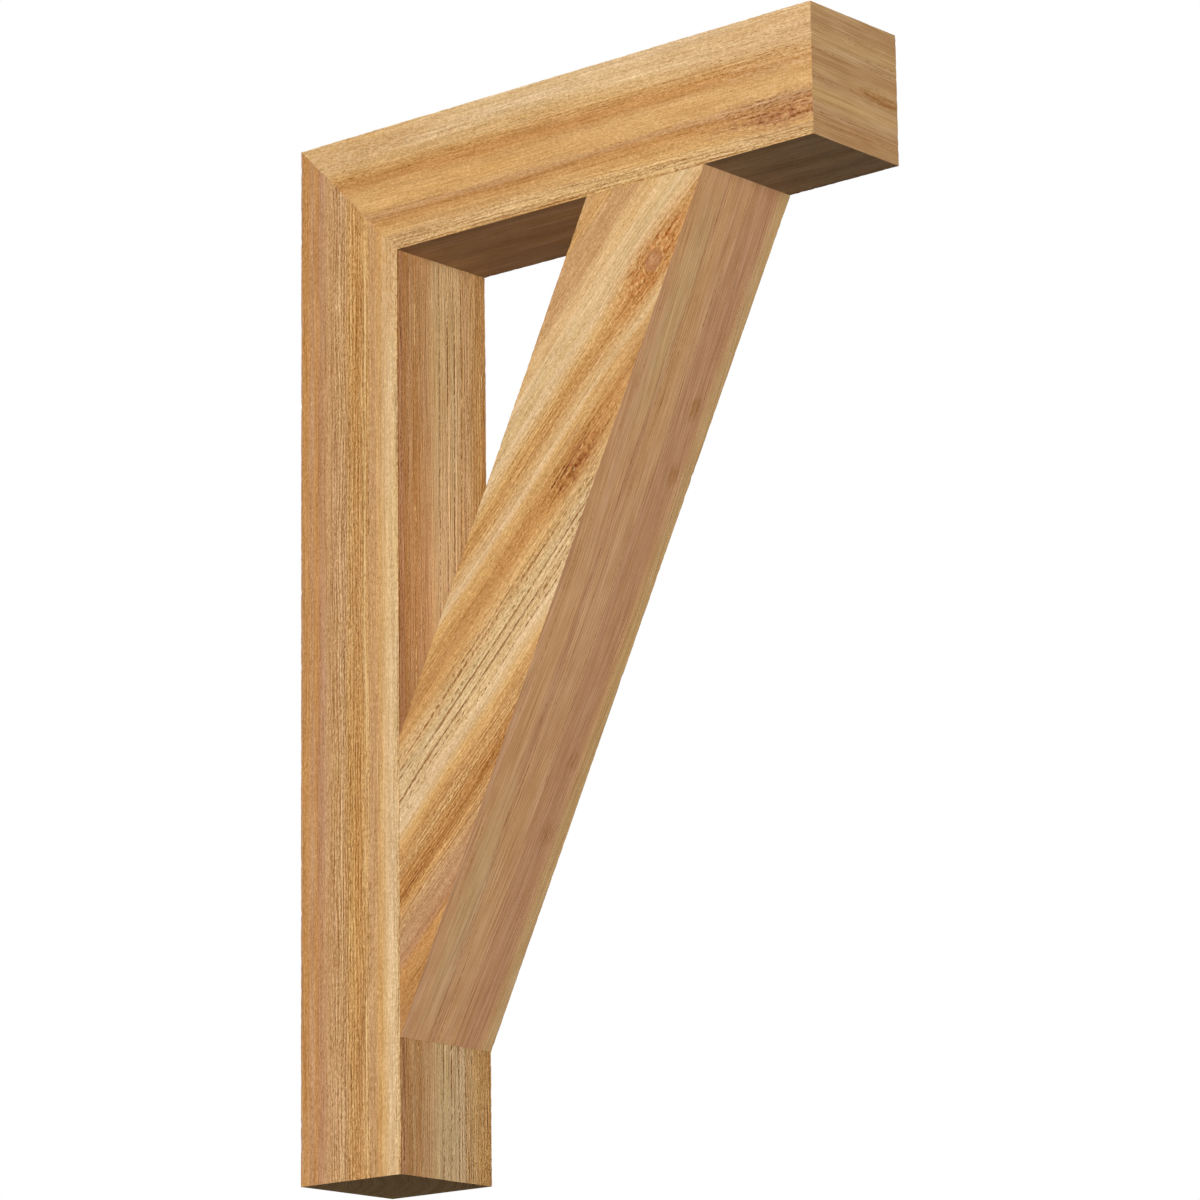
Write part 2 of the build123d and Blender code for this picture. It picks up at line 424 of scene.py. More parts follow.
def build_sawn_cedar():
    """Fine lines, hairlines, combed lines, slanting tears and torn lines laid over a band's colour, with
    painted shade in the tears and grooves and painted highlights beside them.
    """
    graph, given, leave = start_group(
        "Sawn cedar",
        {"Vector": "Vector", "Color": "Band, Pale, Dark", "Float": "Streaks, Dashes, Fuzz, Torn, Raised"},
        {"Color": "Color", "Float": "Roughness, Height"},
    )
    ripple = graph.swing(graph.noise(given["Vector"], (9.0, 5.0, 5.0), detail=1.0), 1.2)
    ripple = graph.times(ripple, given["Fuzz"])
    vector = graph.vector("ADD", given["Vector"], graph.combine(0.0, ripple, 0.0))
    lines = graph.noise(vector, (60.0, 1.0, 1.0), detail=2.0, roughness=0.55)
    medium = graph.noise(vector, (150.0, 3.4, 3.4))
    broad = graph.noise(vector, (230.0, 15.0, 15.0))
    fleck = graph.noise(vector, (3.6, 1.15, 1.15), detail=1.0)
    hair = graph.noise(vector, (1.5, 0.9, 0.9), detail=2.0, roughness=0.6)
    mottle = graph.noise(vector, (24.0, 8.0, 8.0))

    # A band that tore is lined and fuzzy, and one that the saw left clean is almost smooth.
    lined = graph.times_plus(given["Dashes"], 0.9, 0.6)
    shade = graph.times(graph.swing(lines, 1.3), lined)
    shade = graph.plus(shade, graph.plus(graph.swing(medium, 0.6), graph.swing(mottle, 0.4)))
    shade = graph.times_plus(shade, given["Streaks"], 1.0)
    fuzz = graph.times(given["Fuzz"], lined)
    rough = graph.plus(graph.swing(hair, 0.9), graph.swing(fleck, 0.8))
    shade = graph.times_plus(rough, fuzz, shade)
    # The saw's own marks run across the grain and show where nothing tore.
    clean = graph.times(graph.ramp(given["Dashes"], 0.4, 0.0), given["Fuzz"])
    blade = graph.swing(graph.noise(given["Vector"], (1.5, 14.0, 14.0), detail=1.0), 0.16)
    shade = graph.times_plus(blade, clean, shade)
    # Where it combed the fibres they lie in ridges about three millimetres apart, painted lighter on their
    # tops and darker at their bottoms as painted light and shade.
    wobble = graph.swing(graph.noise(given["Vector"], (90.0, 12.0, 12.0), detail=1.0), 8.0)
    comb = graph.over(graph.plus(graph.separate(vector)[1], wobble), 2.8)
    comb = graph.math("ABSOLUTE", graph.minus(graph.math("FRACT", comb), 0.5))
    combed = graph.ramp(given["Dashes"], 0.28, 0.65)
    ridge_light_and_shade = graph.times(graph.minus(comb, 0.25), graph.times(combed, 0.55))
    shade = graph.plus(shade, ridge_light_and_shade)
    # The darker a line is, the redder: its green and blue fall faster than its red.
    tinted = graph.combine(shade, graph.math("POWER", shade, 1.4), graph.math("POWER", shade, 2.0))
    colour = graph.mix(1.0, given["Band"], tinted, "MULTIPLY")
    warm = graph.mix(1.0, colour, (1.02, 1.04, 1.03), "MULTIPLY")
    rosy = graph.mix(1.0, colour, (1.00, 1.04, 1.16), "MULTIPLY")
    colour = graph.mix(graph.ramp(broad, 0.35, 0.65), warm, rosy)

    # Hairlines run the whole length, and the bottoms of the combed ridges are as dark here and there:
    # painted shade.
    drawn = graph.noise(given["Vector"], (230.0, 2.6, 2.6), detail=1.0)
    hairline = graph.ramp(graph.math("ABSOLUTE", graph.minus(drawn, 0.5)), 0.045, 0.0)
    dark_runs = graph.ramp(graph.noise(vector, (20.0, 1.6, 1.6)), 0.42, 0.58)
    comb = graph.times(graph.times(graph.ramp(comb, 0.20, 0.05), dark_runs), combed)
    hairline = graph.times(hairline, graph.times_plus(given["Dashes"], 0.6, 0.15))
    drawn = graph.larger(hairline, graph.times(comb, 0.85))
    darker = graph.mix(1.0, colour, (0.66, 0.50, 0.37), "MULTIPLY")
    colour = graph.mix(drawn, colour, darker)

    # Tears lie aslant, each a dark mark of painted shade with pale lips of painted highlight beside it, as
    # a relief lit from one side looks. Clean bands are torn in clumps.
    aslant = slanted(graph, vector)
    clumps = graph.ramp(graph.noise(vector, (40.0, 7.0, 7.0), detail=1.0), 0.50, 0.66)
    edge = graph.times_plus(given["Dashes"], -0.16, 0.77)
    edge = graph.times_plus(clumps, -0.10, edge)
    tear_shade = graph.minus(graph.noise(aslant, (3.4, 1.5, 1.5), detail=1.0), edge)
    lip_highlight = graph.vector("ADD", aslant, (1.5, 1.0, 0.0))
    lip_highlight = graph.minus(graph.noise(lip_highlight, (3.4, 1.5, 1.5), detail=1.0), edge)
    tear_shade = graph.times(graph.times(tear_shade, 9.0, clamp=True), given["Fuzz"])
    lip_highlight = graph.times(graph.times(lip_highlight, 9.0, clamp=True), given["Fuzz"])
    # The lips and the highlight lines are painted highlights in the pale colour.
    raised_highlight = graph.larger(graph.times(lip_highlight, 0.65), given["Raised"])
    colour = graph.mix(graph.times(raised_highlight, 0.8, clamp=True), colour, given["Pale"])
    # The tears and torn lines take the dark colour as painted shade.
    torn = graph.larger(graph.times(tear_shade, 0.7), given["Torn"])
    colour = graph.mix(graph.times(torn, 0.8), colour, given["Dark"])

    height = graph.plus(graph.swing(lines, 0.9), graph.times(rough, fuzz))
    height = graph.times_plus(drawn, -0.4, height)
    height = graph.times_plus(raised_highlight, 0.35, height)
    height = graph.times_plus(torn, -0.5, height)
    gloss = graph.times_plus(lines, 0.15, 0.52)
    roughness = graph.times_plus(given["Fuzz"], 0.25, gloss, clamp=True)
    finish_group(graph, leave, Color=colour, Roughness=roughness, Height=height)


def build_end_grain():
    """Growth rings round a pith, with fine pores between them."""
    graph, given, leave = start_group(
        "End grain",
        {"Vector": "Vector, Pith", "Float": "Ring width", "Color": "Early, Late"},
        {"Color": "Color", "Float": "Height"},
    )
    wobble = graph.noise(given["Vector"], 30.0)
    radius = graph.vector("LENGTH", graph.vector("SUBTRACT", given["Vector"], given["Pith"]))
    radius = graph.times_plus(wobble, 7.0, radius)
    turn = graph.math("FRACT", graph.over(radius, given["Ring width"]))
    late = graph.math("POWER", turn, 3.0)
    years = {"W": graph.over(radius, 6.0), "Scale": 1.0}
    year = graph.add("ShaderNodeTexNoise", years, noise_dimensions="1D").outputs["Fac"]
    pores = graph.noise(given["Vector"], 0.7)
    colour = graph.mix(graph.times(late, 0.55), given["Early"], given["Late"])
    lean_year = graph.mix(1.0, colour, (0.82, 0.78, 0.74), "MULTIPLY")
    colour = graph.mix(graph.ramp(year, 0.3, 0.7), colour, lean_year)
    pored = graph.mix(1.0, colour, (0.7, 0.66, 0.62), "MULTIPLY")
    colour = graph.mix(graph.ramp(pores, 0.52, 0.72), colour, pored)
    finish_group(graph, leave, Color=colour, Height=graph.times_plus(pores, -0.5, late))


def new_material(name):
    """A material with an empty Principled BSDF on its output."""
    material = bpy.data.materials.new(name)
    material.use_nodes = True
    graph = Graph(material.node_tree)
    shader = material.node_tree.nodes["Principled BSDF"]
    return material, graph, shader


def dress(graph, shader, depth, height, values):
    """Feeds values to a shader's sockets by name, and a height of 0 to 1 over a depth to its normal."""
    bump = graph.add("ShaderNodeBump", {"Height": height, "Distance": depth, "Strength": 1.0})
    graph.fill(shader, {**values, "Normal": bump.outputs["Normal"]})


# How a face was cut from the log: where its grain starts, the grain's directions, how wide its bands
# reach, the bands themselves, the lines torn along it and its knots. Millimetres, but for the start.
# A knot without a core is a stain, and one without a push leaves the wood as sound as it was.
Grain = namedtuple("Grain", "start along across reach bands lines knots wander lean")
Face = namedtuple("Face", "normal grain material rough")
Knot = namedtuple("Knot", "along across radius stretch push core halo")
Line = namedtuple("Line", "place width share tone")


def grain_of(start, along, across, bands, reach=TIMBER / MM, lines=(), knots=(), wander=3.0, lean=0.0):
    return Grain(Vector(start), Vector(along), Vector(across), reach, bands, lines, knots, wander, lean)


def lines_of(**tones):
    """A face's torn lines, listed by tone as (place, width, share of it that is torn). Umber lines are
    grooves darkened with painted shade, cream lines are painted highlights beside them, and rust lines are
    reddened wood.
    """
    return tuple(sorted(Line(*line, tone) for tone, lines in tones.items() for line in lines))


# Bands as (millimetres across the face, tone, how torn from 0 to 1)
BEAM_SIDE = (
    (0, "cream", 0.1), (4, "pale", 0.1), (11, "pale", 0.1), (15, "pale", 0.25), (20, "pale", 0.2),
    (23, "sand", 0.2), (28, "sand", 0.2), (31, "gold", 0.35), (35, "honey", 0.4), (38, "orange", 0.35),
    (42, "orange", 0.2), (45, "honey", 0.1), (49, "gold", 0.1), (54, "straw", 0.0), (61, "straw", 0.0),
    (65, "gold", 0.1), (69, "tan", 0.2), (73, "amber", 0.3), (77, "honey", 0.2), (82, "gold", 0.1),
    (86, "straw", 0.2), (90, "sand", 0.4), (95, "sand", 0.6), (99, "sand", 0.7), (101, "straw", 0.6),
)
# In the tables of lines, the cream lines are painted highlights beside the grooves.
BEAM_SIDE_LINES = lines_of(
    umber=(
        (14.5, 1.2, 0.18), (19.5, 1.2, 0.15), (26.0, 0.9, 0.35), (33.8, 1.0, 0.40), (91.0, 1.1, 0.30),
        (95.5, 1.1, 0.40), (100.0, 1.1, 0.40),
    ),
    cream=((93.0, 1.3, 0.60), (97.8, 1.3, 0.70)),
    rust=(
        (22.8, 0.9, 0.40), (30.5, 1.0, 0.50), (37.0, 1.2, 0.60), (44.5, 0.9, 0.40), (52.0, 0.9, 0.32),
        (67.0, 1.0, 0.45), (73.0, 1.1, 0.55), (79.0, 0.9, 0.45), (84.0, 0.9, 0.38),
    ),
)
POST_SIDE = (
    (0, "pink", 0.3), (3, "amber", 0.3), (7, "orange", 0.2), (12, "pink", 0.2), (16, "orange", 0.2),
    (20, "mauve", 0.2), (25, "pink", 0.2), (29, "tan", 0.3), (34, "tan", 0.6), (38, "tan", 0.7),
    (42, "wheat", 0.7), (46, "tan", 0.7), (50, "gold", 0.7), (54, "gold", 0.7), (58, "honey", 0.7),
    (62, "honey", 0.7), (65, "gold", 0.6), (69, "gold", 0.5), (73, "tan", 0.3), (77, "tan", 0.2),
    (82, "gold", 0.1), (86, "sand", 0.0), (91, "pale", 0.0), (95, "pale", 0.1), (99, "pale", 0.5),
    (101, "sand", 0.6),
)
POST_SIDE_LINES = lines_of(
    umber=(
        (51.0, 1.0, 0.45), (58.5, 1.0, 0.45), (64.5, 0.9, 0.40), (71.0, 1.0, 0.40), (101.2, 0.9, 0.45),
    ),
    cream=((67.5, 1.4, 0.80), (99.0, 1.5, 0.60)),
    rust=(
        (10.5, 0.9, 0.35), (18.0, 0.9, 0.35), (26.5, 1.0, 0.45), (33.0, 0.9, 0.45), (38.5, 0.9, 0.50),
        (44.5, 0.9, 0.50), (55.0, 0.9, 0.50), (75.5, 1.0, 0.55),
    ),
)
POST_INNER = (
    (0, "amber", 0.5), (4, "mauve", 0.5), (9, "amber", 0.4), (15, "tan", 0.3), (20, "amber", 0.3),
    (25, "tan", 0.3), (29, "tan", 0.2), (33, "tan", 0.1), (38, "wheat", 0.0), (44, "olive", 0.0),
    (50, "olive", 0.1), (57, "pale", 0.2), (61, "olive", 0.2), (69, "pale", 0.2), (73, "sand", 0.5),
    (77, "wheat", 0.5), (81, "sand", 0.4), (88, "straw", 0.5), (93, "straw", 0.6), (99, "honey", 0.7),
    (101, "gold", 0.6),
)
POST_INNER_LINES = lines_of(
    umber=(
        (1.3, 1.2, 0.70), (4.5, 1.0, 0.40), (13.0, 1.0, 0.30), (48.0, 1.2, 0.72), (57.0, 1.2, 0.72),
        (65.0, 1.2, 0.72), (73.0, 1.1, 0.70), (80.5, 1.0, 0.45), (92.0, 0.9, 0.35),
    ),
    cream=((20.0, 1.4, 0.55), (50.2, 1.0, 0.55), (59.2, 1.0, 0.60), (67.2, 1.0, 0.55), (97.0, 1.2, 0.35)),
    rust=((28.0, 1.0, 0.50),),
)
BRACE_SIDE = (
    (0, "tan", 0.2), (14, "gold", 0.2), (18, "tan", 0.25), (36, "tan", 0.2), (42, "sand", 0.1),
    (48, "sand", 0.1), (53, "pale", 0.0), (62, "olive", 0.1), (73, "pale", 0.2), (79, "sand", 0.3),
    (84, "gold", 0.4), (90, "honey", 0.5), (95, "gold", 0.4), (102, "sand", 0.2), (106, "pale", 0.1),
    (111, "straw", 0.2), (117, "gold", 0.3), (122, "honey", 0.3), (127, "amber", 0.3), (134, "honey", 0.2),
    (141, "straw", 0.3), (147, "sand", 0.4), (151, "sand", 0.4), (157, "olive", 0.3), (178, "pale", 0.3),
    (182, "cream", 0.1), (186, "pale", 0.0), (193, "straw", 0.1), (200, "honey", 0.5), (207, "gold", 0.6),
    (211, "amber", 0.6), (216, "orange", 0.6), (222, "rust", 0.6), (228, "honey", 0.5), (236, "tan", 0.5),
    (242, "pink", 0.3), (250, "pink", 0.3), (255, "mauve", 0.3), (262, "orange", 0.3), (272, "amber", 0.3),
    (290, "amber", 0.3),
)
BRACE_SIDE_LINES = lines_of(
    umber=(
        (146.0, 1.1, 0.55), (150.0, 1.2, 0.75), (154.0, 1.1, 0.70), (158.0, 1.2, 0.75),
        (162.0, 1.2, 0.80), (166.0, 1.1, 0.75), (170.0, 1.2, 0.80), (174.0, 1.1, 0.70),
        (178.5, 1.2, 0.80), (215.0, 1.0, 0.45), (222.0, 1.0, 0.50),
    ),
    cream=((208.0, 1.4, 0.60), (226.5, 1.3, 0.55)),
    rust=((84.0, 1.0, 0.40), (92.0, 1.0, 0.60), (124.0, 1.1, 0.50)),
)
BRACE_LOWER = (
    (0, "blush", 0.4), (5, "rose", 0.4), (10, "rose", 0.4), (16, "rose", 0.3), (20, "rose", 0.2),
    (27, "rose", 0.2), (32, "blush", 0.5), (36, "rose", 0.4), (41, "rose", 0.4), (46, "rose", 0.3),
    (52, "rose", 0.3), (57, "rose", 0.4), (61, "blush", 0.4), (66, "blush", 0.3), (73, "blush", 0.3),
    (80, "blush", 0.3), (85, "blush", 0.3), (90, "rose", 0.3), (94, "sand", 0.3), (101, "sand", 0.1),
)
BRACE_LOWER_LINES = lines_of(
    rust=(
        (7.0, 0.8, 0.55), (11.0, 0.8, 0.45), (31.5, 0.9, 0.60), (35.0, 0.8, 0.50), (41.0, 0.8, 0.55),
        (58.0, 0.8, 0.45),
    ),
)
BEAM_END = (
    (0, "wheat", 0.3), (12, "tan", 0.4), (20, "wheat", 0.4), (25, "sand", 0.2), (33, "wheat", 0.4),
    (38, "tan", 0.3), (46, "tan", 0.2), (52, "wheat", 0.3), (57, "tan", 0.5), (61, "wheat", 0.2),
    (70, "sand", 0.2), (76, "wheat", 0.2), (81, "wheat", 0.4), (85, "tan", 0.4), (90, "tan", 0.3),
    (101, "tan", 0.3),
)
BEAM_END_LINES = lines_of(
    rust=(
        (9.0, 0.8, 0.45), (17.5, 0.8, 0.55), (21.0, 0.8, 0.45), (29.5, 0.8, 0.55), (35.5, 0.8, 0.55),
        (57.0, 1.0, 0.50), (83.0, 0.9, 0.60), (90.0, 0.8, 0.55),
    ),
)
# The underside's bands are darker than the sides': painted shade of a face that looks down.
BEAM_UNDER = (
    (0, "latewood_and_underside_shade_drab", 0.2), (14, "underside_shade_dun", 0.2), (30, "underside_shade_dun", 0.1), (46, "latewood_and_underside_shade_drab", 0.3), (60, "underside_shade_dun", 0.2),
    (76, "latewood_and_underside_shade_drab", 0.2), (90, "underside_shade_dun", 0.2), (101, "latewood_and_underside_shade_drab", 0.2),
)
PLAIN_SAWN = (
    (0, "honey", 0.2), (14, "tan", 0.3), (30, "straw", 0.1), (42, "orange", 0.3), (55, "tan", 0.2),
    (68, "pale", 0.1), (80, "honey", 0.4), (101, "tan", 0.3),
)
PLAIN_LINES = lines_of(
    umber=((44.0, 0.9, 0.5), (71.0, 0.9, 0.4)),
    rust=((22.0, 0.8, 0.4),),
)


def both_sides(grain, material):
    """The two long sides of a timber, which look alike."""
    return tuple(Face(Vector((0, way, 0)), grain, material, 1.0) for way in (-1, 1))


def post_faces():
    """The post's faces, with the grain running down from the beam."""
    near = Vector((POST_LOW.x, -HALF_WIDTH, POST_HIGH.z))
    inner_start = Vector((TIMBER, -HALF_WIDTH, POST_HIGH.z))
    down = (0, 0, -1)
    stain = Knot(85.0, 94.0, 9.0, 4.0, 0.0, None, "honey")
    side = grain_of(near, down, (1, 0, 0), POST_SIDE, lines=POST_SIDE_LINES, knots=(stain,))
    inner = grain_of(inner_start, down, (0, 1, 0), POST_INNER, lines=POST_INNER_LINES)
    wall = grain_of(near, down, (0, 1, 0), PLAIN_SAWN, lines=PLAIN_LINES)
    return (
        *both_sides(side, "Cedar, post side"),
        Face(Vector((1, 0, 0)), inner, "Cedar, post inner face", 0.8),
        Face(Vector((-1, 0, 0)), wall, "Cedar, wall face", 0.8),
        Face(Vector((0, 0, -1)), None, END_GRAIN, 0.0),
    )


def beam_faces():
    """The beam's faces, with the grain running out from the wall."""
    near = Vector((BEAM_LOW.x, -HALF_WIDTH, BEAM_HIGH.z))
    out, down, over = (1, 0, 0), (0, 0, -1), (0, 1, 0)
    marks = (
        Knot(480.0, 76.0, 6.0, 5.0, 0.3, None, "mauve"), Knot(484.0, 80.0, 3.2, 4.5, 0.6, None, "russet"),
        Knot(40.0, 4.0, 14.0, 3.2, 0.0, None, "gold"), Knot(505.0, 42.0, 13.0, 3.0, 0.0, None, "wheat"),
        Knot(500.0, 13.0, 9.0, 5.0, 0.0, None, "wheat"),
    )
    side = grain_of(near, out, down, BEAM_SIDE, lines=BEAM_SIDE_LINES, knots=marks, wander=4.0)
    under = grain_of((0, -HALF_WIDTH, BEAM_LOW.z), out, over, BEAM_UNDER)
    top = grain_of(near, out, over, PLAIN_SAWN, lines=PLAIN_LINES)
    streak = Knot(84.0, 56.0, 3.0, 4.5, 0.6, None, "rust")
    end_start = Vector((BEAM_HIGH.x, -HALF_WIDTH, BEAM_HIGH.z))
    end = grain_of(
        end_start, over, down, BEAM_END, lines=BEAM_END_LINES, knots=(streak,), wander=2.0, lean=0.04
    )
    return (
        *both_sides(side, "Cedar, beam side"),
        Face(Vector((0, 0, -1)), under, "Cedar, beam underside", 0.4),
        Face(Vector((0, 0, 1)), top, "Cedar, beam top", 0.8),
        Face(Vector((1, 0, 0)), end, "Cedar, beam end", 0.12),
    )


def brace_faces():
    """The brace's faces. Its sides' grain runs at 45 degrees, flatter than the brace itself."""
    turned = Vector((1, 0, 1)).normalized()
    square = Vector((1, 0, -1)).normalized()
    start = Vector((0, -HALF_WIDTH, 0)) + square * (280 * MM)
    knots = (
        Knot(136.0, 88.0, 7.5, 3.0, 0.9, "pink", "ember"), Knot(-16.0, 131.0, 5.5, 5.0, 0.3, None, "rust"),
        Knot(-13.0, 133.0, 3.2, 4.5, 0.6, None, "russet"),
    )
    side = grain_of(start, turned, square, BRACE_SIDE, 290, BRACE_SIDE_LINES, knots, wander=6.0)
    foot = Vector((BRACE_LOW.x, -HALF_WIDTH, BRACE_LOW.z))
    marks = (
        Knot(172.0, 78.0, 3.0, 1.5, 0.5, None, "rust"), Knot(230.0, 80.0, 2.4, 1.5, 0.5, None, "rust"),
        Knot(455.0, 80.0, 2.4, 1.5, 0.5, None, "rust"), Knot(508.0, 78.0, 3.0, 1.5, 0.5, None, "rust"),
        Knot(110.0, 24.0, 5.5, 7.5, 0.3, None, "olive"), Knot(575.0, 24.0, 5.5, 7.5, 0.3, None, "olive"),
    )
    lower = grain_of(
        foot, BRACE_SLOPE, ALONG_Y, BRACE_LOWER, lines=BRACE_LOWER_LINES, knots=marks, wander=5.0, lean=0.06
    )
    upper = grain_of(foot, BRACE_SLOPE, ALONG_Y, PLAIN_SAWN, lines=PLAIN_LINES)
    outward = Vector((BRACE_SLOPE.z, 0, -BRACE_SLOPE.x))
    return (
        *both_sides(side, "Cedar, brace side"),
        Face(outward, lower, "Cedar, brace lower face", 0.12),
        Face(-outward, upper, "Cedar, brace upper face", 0.8),
    )


def line_stops(grain):
    """A ramp that says how much is torn and darkened with painted shade, how much is lit with a painted
    highlight and how much is reddened at each place across a face.
    """
    whole, opaque = (0, 0, 0), 1.0
    stops = [(0.0, whole, opaque)]
    for line in grain.lines:
        start = (line.place - line.width) / grain.reach
        peak = line.place / grain.reach
        end = (line.place + line.width) / grain.reach
        if start <= stops[-1][0]:
            stops[-1] = ((stops[-2][0] + peak) / 2, whole, opaque)
        else:
            stops.append((start, whole, opaque))
        share = tuple(line.share if tone == line.tone else 0 for tone in ("umber", "cream", "rust"))
        stops.append((min(peak, 1.0), share, opaque))
        stops.append((min(end, 1.0), whole, opaque))
    return stops


def cedar_material(name, grain, rough, cedar):
    """The finish of one long face."""
    if name in bpy.data.materials:
        return bpy.data.materials[name]
    material, graph, shader = new_material(name)
    vector = graph.group(
        "Grain frame", Start=grain.start, Along=grain.along, Across=grain.across, Wander=grain.wander,
        Wander_length=WANDER_LENGTH,
    )["Vector"]
    knots = []
    for knot in grain.knots:
        made = graph.group(
            "Knot", Vector=vector, Along=knot.along, Across=knot.across, Radius=knot.radius,
            Stretch=knot.stretch, Push=knot.push,
        )
        vector = made["Vector"]
        knots.append((knot, made))
    stops = [(place / grain.reach, getattr(cedar, tone)[:], torn) for place, tone, torn in grain.bands]
    ragged = graph.group("Ragged bands", Vector=vector, Amount=4.0 + 3.0 * rough)["Across"]
    band, dashes = graph.bands(graph.over(ragged, grain.reach), stops)
    for knot, made in knots:
        band = graph.mix(graph.times(made["Halo"], 0.8), band, getattr(cedar, knot.halo)[:])
        if knot.push:
            dashes = graph.larger(dashes, graph.times(made["Halo"], rough))
    torn = raised_highlight = 0.0
    if grain.lines:
        across = graph.over(graph.separate(vector)[1], grain.reach)
        shares = graph.bands(across, line_stops(grain))[0]
        lines = graph.group("Torn lines", Vector=vector, Shares=shares)
        torn, raised_highlight = lines["Torn"], lines["Raised"]
        band = graph.mix(graph.times(lines["Reddened"], 0.8), band, cedar.rust[:])
    if grain.lean:
        vector = graph.group("Lean", Vector=vector, Middle=LEAN_MIDDLE, Slope=grain.lean)["Vector"]
    # The pale colour paints the highlights, and the dark one paints the shade of tears and torn lines.
    wood = graph.group(
        "Sawn cedar", Vector=vector, Band=band, Streaks=0.62 - 0.08 * rough, Dashes=dashes, Fuzz=rough,
        Torn=torn, Raised=raised_highlight, Pale=cedar.fibre_highlight[:], Dark=cedar.umber[:],
    )
    colour = wood["Color"]
    for knot, made in knots:
        if knot.core:
            core = graph.mix(made["Rings"], getattr(cedar, knot.core)[:], cedar.russet[:])
            colour = graph.mix(graph.times(made["Core"], 0.85), colour, core)
    dress(graph, shader, (0.25 + 0.55 * rough) * MM, wood["Height"], {
        "Base Color": colour, "Roughness": wood["Roughness"], "Specular IOR Level": 0.0,
    })
    return material


def end_grain_material(name, cedar):
    """The finish of a crosscut end and of the bores."""
    if name in bpy.data.materials:
        return bpy.data.materials[name]
    material, graph, shader = new_material(name)
    rings = graph.group(
        "End grain", Vector=graph.place((1 / MM, 1 / MM, 0.0)), Pith=(-60.0, -130.0, 0.0), Ring_width=2.6,
        Early=cedar.pale[:], Late=cedar.latewood_and_underside_shade_drab[:],
    )
    dress(graph, shader, 0.25 * MM, rings["Height"], {
        "Base Color": rings["Color"], "Roughness": 0.85, "Specular IOR Level": 0.0,
    })
    return material


def saw_mark(face, place, cedar):
    """How far the saw cut below a face at a place."""
    grain = face.grain
    from_start = (place - grain.start) / MM
    along, across = from_start.dot(grain.along), from_start.dot(grain.across)
    ridges = noise.noise((along / 30, across / 2.0, from_start.y / 9)) * 0.5 + 0.5
    waves = noise.noise((along / 60, across / 15, 7.7)) * 0.5 + 0.5
    chatter = noise.noise((along / 5, across / 4, 1.9)) * 0.5 + 0.5
    depth = (0.35 * ridges + 0.35 * waves + 0.12 * chatter) * cedar.saw_depth
    groove = 0.0
    for line in grain.lines:
        drift = 0.7 * math.sin(along / 43 + line.place) + 0.3 * math.sin(along / 17 + line.place)
        off = abs(across - drift - line.place)
        if off < GROOVE_REACH and line.tone == "umber":
            groove = max(groove, (1 - off / GROOVE_REACH) * line.share)
    return (depth + groove * cedar.groove_depth) * face.rough


def chipped(along, cedar):
    """How far an arris is chipped back."""
    return max(0.0, noise.noise((along / 3.6, 0.5, 2.2))) * 0.8 * cedar.saw_depth


def put(name, data):
    """A new object in the scene."""
    made = bpy.data.objects.new(name, data)
    bpy.context.collection.objects.link(made)
    return made


def timber_blank(name, outline):
    """A stick of timber from its side's outline, whose second and fourth edges run along it."""
    mesh = bpy.data.meshes.new(name)
    work = bmesh.new()
    corners = [work.verts.new((x, -HALF_WIDTH, z)) for x, z in outline]
    side = work.faces.new(corners)
    grown = bmesh.ops.extrude_face_region(work, geom=[side])
    moved = [item for item in grown["geom"] if isinstance(item, bmesh.types.BMVert)]
    bmesh.ops.translate(work, verts=moved, vec=(0, 2 * HALF_WIDTH, 0))
    bmesh.ops.recalc_face_normals(work, faces=work.faces)
    return mesh, work


def cut_to_cells(work, outline, cedar):
    """Cuts the blank into cells, long ways of the grain."""
    (left, low), (right, high) = outline[1:3]
    run = Vector((right - left, 0, high - low)).normalized()

    def edges_along(direction):
        runs = ((edge, (edge.verts[1].co - edge.verts[0].co).normalized()) for edge in work.edges)
        return [edge for edge, way in runs if abs(way.dot(direction)) > 0.999]

    def cuts(length, cell):
        return max(1, round(length / cell) - 1)

    longest = max(e.calc_length() for e in edges_along(run))
    bmesh.ops.subdivide_edges(work, edges=edges_along(run), cuts=cuts(longest, cedar.cell_along))
    cross = cuts(2 * HALF_WIDTH, cedar.cell_across)
    bmesh.ops.subdivide_edges(work, edges=edges_along(ALONG_Y), cuts=cross)
    flat = set(edges_along(ALONG_Y)) | set(edges_along(run))
    depth = [e for e in work.edges if e not in flat]
    bmesh.ops.subdivide_edges(work, edges=depth, cuts=cross)


def saw_timber(name, node, outline, faces, cedar):
    """A rough timber that stands for its plain one, with the plain one's bores in it."""
    mesh, work = timber_blank(name, outline)
    cut_to_cells(work, outline, cedar)
    slots = []
    for face in faces:
        if face.material not in slots:
            slots.append(face.material)
    if END_GRAIN not in slots:
        slots.append(END_GRAIN)
    for polygon in work.faces:
        best = max(faces, key=lambda face: polygon.normal.dot(face.normal))
        square_on = polygon.normal.dot(best.normal) > 0.99
        polygon.material_index = slots.index(best.material if square_on else END_GRAIN)
        polygon.smooth = True
    sawn = [(face, max(vert.co.dot(face.normal) for vert in work.verts)) for face in faces if face.grain]
    for vert in work.verts:
        place = vert.co.copy()
        on = [face for face, reach in sawn if reach - place.dot(face.normal) < 1e-6]
        for face in on:
            depth = saw_mark(face, place, cedar) + SKIM
            if len(on) > 1:
                depth += chipped((place.x + place.z) / MM, cedar)
            vert.co -= face.normal * depth
    for edge in work.edges:
        if len({polygon.material_index for polygon in edge.link_faces}) > 1:
            edge.smooth = False
    work.to_mesh(mesh)
    work.free()
    timber = put(name, mesh)
    for slot in slots:
        face = next((face for face in faces if face.material == slot), None)
        if face and face.grain:
            mesh.materials.append(cedar_material(slot, face.grain, face.rough, cedar))
        else:
            mesh.materials.append(end_grain_material(slot, cedar))
    bore_as(timber, node, slots.index(END_GRAIN))
    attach(timber, "root")
    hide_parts(node)


